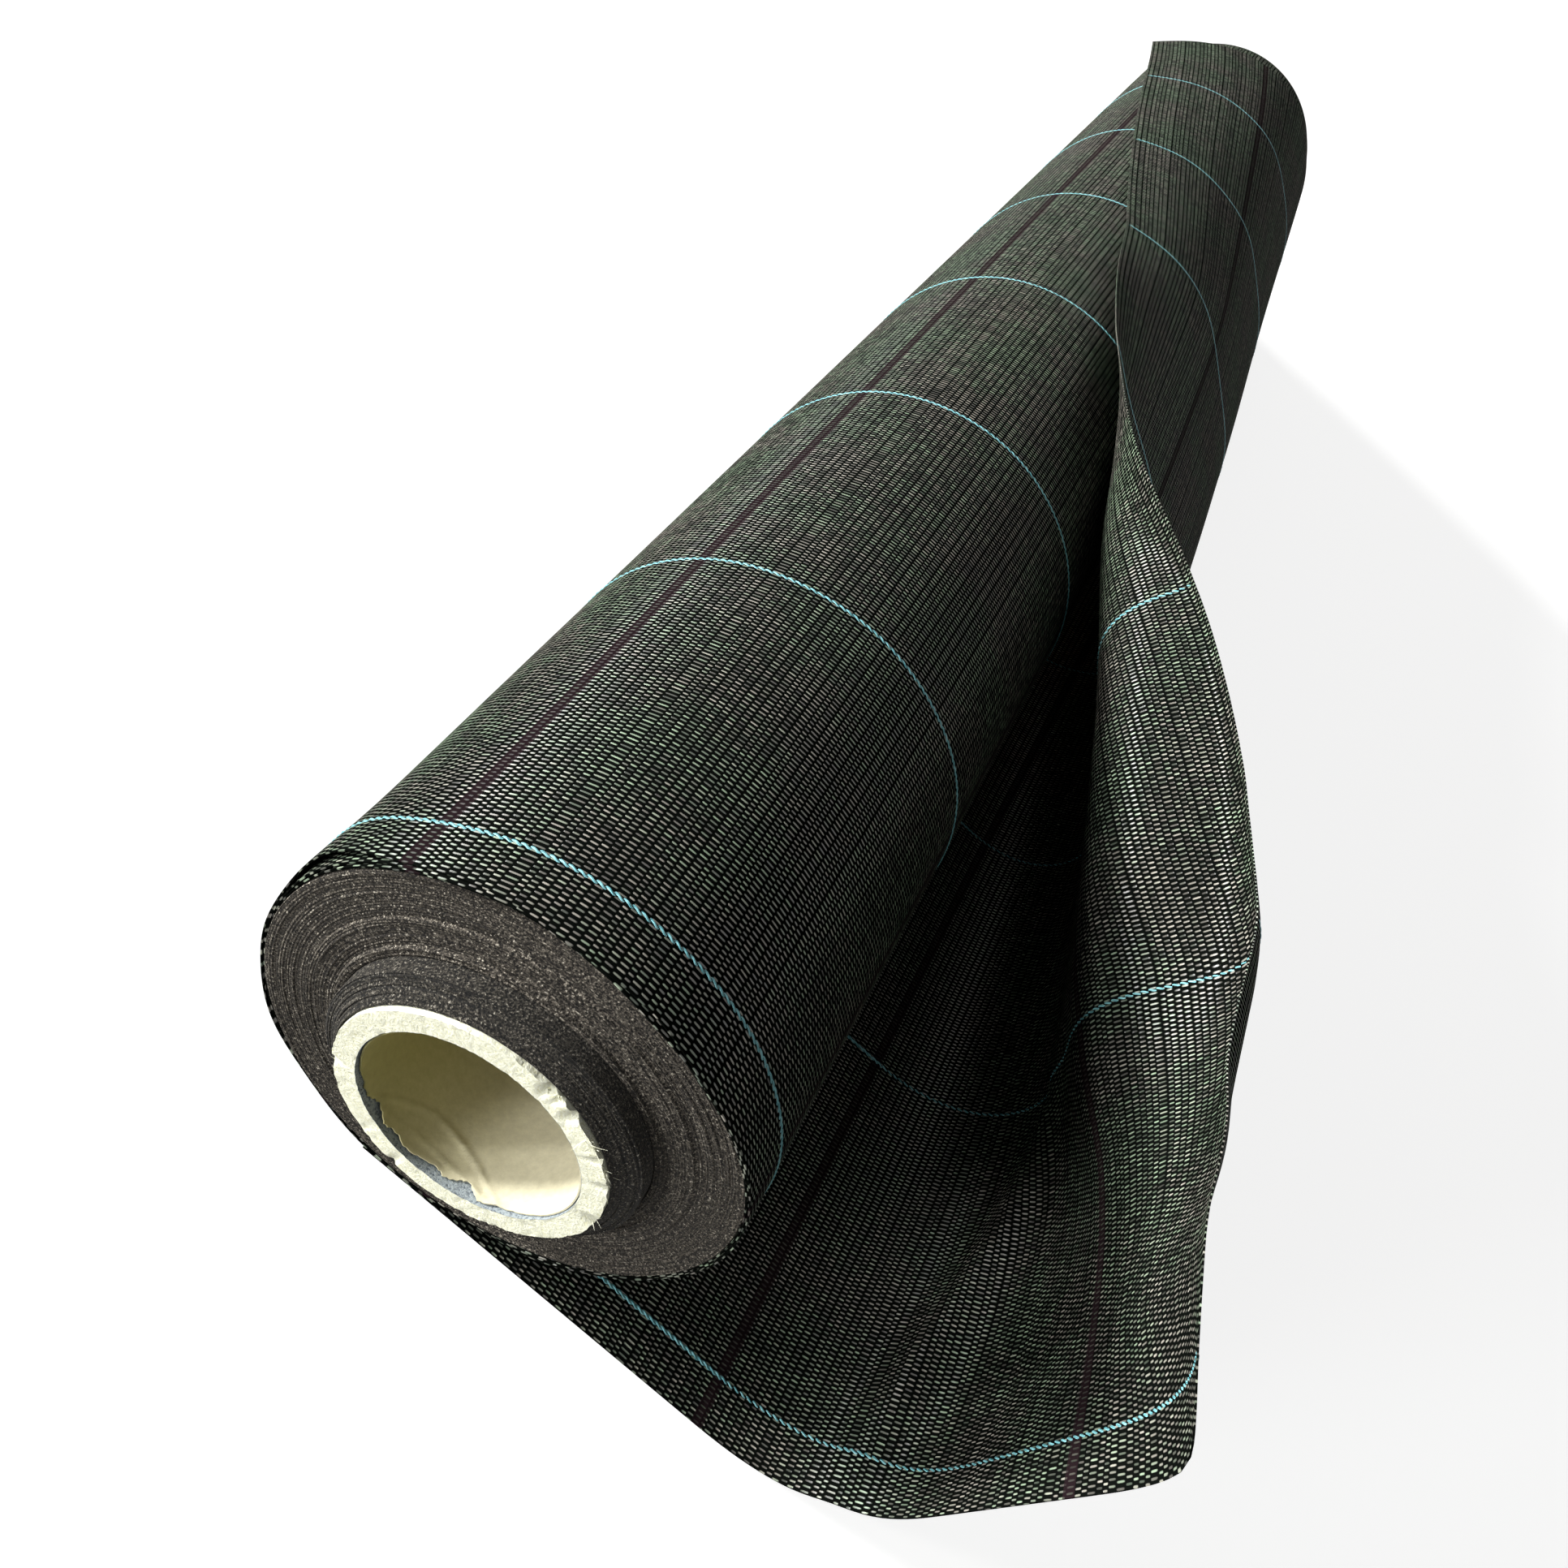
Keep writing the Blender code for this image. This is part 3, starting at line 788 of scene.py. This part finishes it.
def loose_face(across):
    """Outer face of the loose end as rows of points, from the tucked edge to the free edge.

    This is how the part's source lays it out, only finer: each row follows the slope of its
    station and turns sideways just enough to stay square to the row behind it.
    """
    shares = np.array(loose_bend_shares)
    slopes = np.array(loose_slopes, dtype=float)
    place = across / fabric_width
    stations = shares[:, 0]
    lift, bent, turn, edge = [smooth_between(stations, column, place) for column in shares.T[1:]]
    standing, lapel, tip = [smooth_between(stations, column, place) for column in slopes.T]
    step = loose_length / loose_rows
    row = np.zeros((len(across), 3))
    row[:, 1] = across + near_edge
    rows = [row - (tucked_length, 0, 0), row - (tucked_length / 2, 0, 0), row]
    for i in range(loose_rows):
        share = (i + 1 / 2) / loose_rows
        slope = standing * eased(share, lift, bent)
        slope += (lapel - standing) * eased(share, turn, turn + lapel_turn_share)
        slope += (tip - lapel) * eased(share, edge, 1)
        ahead, up = np.cos(np.radians(slope)), np.sin(np.radians(slope))
        along = np.gradient(row, across, axis=0)
        side = np.arctan2(-(ahead * along[:, 0] + up * along[:, 2]), along[:, 1])
        row = row + step * np.stack([ahead * np.cos(side), np.sin(side), up * np.cos(side)],
                                    axis=-1)
        rows.append(row)
    face = np.array(rows)
    least = roll_radius + web_thickness + loose_slack
    height = face[..., 2] - axis_height
    push = np.where(face[..., 2] > 0, np.maximum(least / np.hypot(face[..., 0], height), 1), 1)
    face[..., 0] *= push
    face[..., 2] = np.maximum(np.where(push > 1, axis_height + height * push, face[..., 2]), 0)
    return face


def soft_crease(lengths, across):
    """Height of the soft crease that runs up from the foot of the fold. It is lower beside the
    near edge and fades out across the web."""
    middle = np.interp(across, soft_crease_across, soft_crease_along)
    height = soft_crease_height * (1 - eased(across, 0.12, 0.20))
    height = height * (0.3 + 0.7 * eased(across, 0, 0.05))
    return height * np.exp(-((lengths[:, None] - middle) / soft_crease_width) ** 2)


# Columns of the web: evenly spaced, with more at the worn corner and one under each yarn
across = np.unique(np.round(np.concatenate([np.arange(0, fabric_width, loose_column_pitch),
                                            np.array(corner_columns) * millimetre,
                                            yarn_places, [fabric_width]]), 6))
across = across[np.concatenate([[True], np.diff(across) > 0.3 * millimetre])]
face = loose_face(across)
lengths = np.concatenate([[-tucked_length, -tucked_length / 2],
                          np.linspace(0, loose_length, loose_rows + 1)])
inward = unit(np.cross(np.gradient(face, axis=0), np.gradient(face, axis=1)))
face += soft_crease(lengths, across)[..., None] * inward

# The near corner is worn round: there the rows are drawn back from the free edge
into_corner = np.maximum(worn_corner - across, 0)
cut_back = worn_corner - np.sqrt(worn_corner ** 2 - into_corner ** 2)
worn_part = eased(lengths[:, None], loose_length - corner_reach, loose_length)
row_lengths = lengths[:, None] - cut_back * worn_part
for column in np.flatnonzero(into_corner):
    face[:, column] = smooth_between(lengths, face[:, column], row_lengths[:, column])
inward = unit(np.cross(np.gradient(face, axis=0), np.gradient(face, axis=1)))
back = face + web_thickness * inward

loops = np.concatenate([face, back[:, ::-1]], axis=1)
flat_across = np.concatenate([across, across[::-1], across[:1]])
flat_along = np.concatenate([row_lengths, row_lengths[:, ::-1], row_lengths[:, :1]], axis=1)
places = np.stack(np.broadcast_arrays(flat_along, flat_across), axis=-1)
loose_end = skin("loose_end_web", [(loops, places, False)])
finish_piece(loose_end, tape, "black_web", "loose_web", "loose_end")

for k, node_name in enumerate(loose_yarns):
    column = int(np.argmin(np.abs(across - yarn_places[k])))
    middle = (face[:, column] + back[:, column]) / 2
    off_roll = np.hypot(middle[:, 0], middle[:, 2] - axis_height) - roll_radius
    clear = off_roll > yarn_clear_of_roll
    start = len(clear) - int(np.argmin(clear[::-1]))
    at = np.arange(lengths[start], loose_length - yarn_cut_short, yarn_lay / steps_in_lay)
    path = smooth_between(lengths, middle, at)
    path[:, 2] = np.maximum(path[:, 2], 2 * ply_half_height)
    side = unit(smooth_between(lengths, np.gradient(face, axis=1)[:, column], at))
    up = unit(smooth_between(lengths, inward[:, column], at))
    yarn = twisted_yarn(f"teal_yarn_loose_{k + 1}", path, side, up, False)
    finish_piece(yarn, teal_yarn, "teal_yarn", "loose_web", node_name)


# Floor, light and camera

def seen_directly(tree):
    """1 where the camera sees it, straight or in a glossy or clear surface, and 0 as a light."""
    ray = add_node(tree, "ShaderNodeLightPath", {})
    seen = add_node(tree, "ShaderNodeMath", {0: ray["Is Camera Ray"], 1: ray["Is Glossy Ray"]},
                    operation="MAXIMUM")["Value"]
    return add_node(tree, "ShaderNodeMath", {0: seen, 1: ray["Is Transmission Ray"]},
                    operation="MAXIMUM")["Value"]


def plain_floor():
    """Matt painted floor, wide enough to fill the view, and raised to white where it is seen."""
    mesh = bpy.data.meshes.new("floor")
    corners = [(x * floor_reach, y * floor_reach, -floor_drop)
               for x, y in ((-1, -1), (1, -1), (1, 1), (-1, 1))]
    mesh.from_pydata(corners, [], [(0, 1, 2, 3)])
    floor = bpy.data.objects.new("floor", mesh)
    bpy.context.scene.collection.objects.link(floor)
    material, tree = new_material("matt white floor paint")
    lift = add_node(tree, "ShaderNodeMath", {0: seen_directly(tree), 1: floor_whitening},
                    operation="MULTIPLY")["Value"]
    finish_material(tree, {"Base Color": linear("#c6c6c4"), "Roughness": 0.9,
                           "Specular IOR Level": 0.1, "Emission Color": (1, 1, 1, 1),
                           "Emission Strength": lift})
    mesh.materials.append(material)


def studio_world():
    """A pale room: white where the camera or a glossy surface sees it, and dimmer as a light."""
    world = bpy.data.worlds.new("pale room")
    world.use_nodes = True
    tree = world.node_tree
    tree.nodes.clear()
    strength = add_node(tree, "ShaderNodeMapRange",
                        {"Value": seen_directly(tree), "To Min": room_as_light,
                         "To Max": 1.0})["Result"]
    room = add_node(tree, "ShaderNodeBackground",
                    {"Color": (1, 1, 1, 1), "Strength": strength})["Background"]
    add_node(tree, "ShaderNodeOutputWorld", {"Surface": room})
    bpy.context.scene.world = world


def aimed(data, place, aim):
    """Adds a light or a camera at a place, turned towards a point."""
    thing = bpy.data.objects.new(data.name, data)
    thing.location = place
    thing.rotation_mode = "QUATERNION"
    thing.rotation_quaternion = (Vector(aim) - Vector(place)).to_track_quat("-Z", "Y")
    bpy.context.scene.collection.objects.link(thing)
    return thing


plain_floor()
studio_world()

for name, energy, degrees_wide, place in suns:
    sun = bpy.data.lights.new(name, "SUN")
    sun.energy = energy
    sun.angle = math.radians(degrees_wide)
    aimed(sun, place, (0, 0, 0))

fill = bpy.data.lights.new("front_softbox", "AREA")
fill.size = softbox_size
fill.energy = softbox_watts
aimed(fill, softbox_place, softbox_aim)

camera_data = bpy.data.cameras.new("camera")
camera_data.lens = camera_lens
camera_data.clip_start = camera_nearest
camera = aimed(camera_data, camera_place, camera_aim)
camera.rotation_quaternion = camera.rotation_quaternion @ Quaternion((0, 0, 1), camera_roll)
bpy.context.scene.camera = camera
bpy.context.scene.view_settings.view_transform = "Standard"
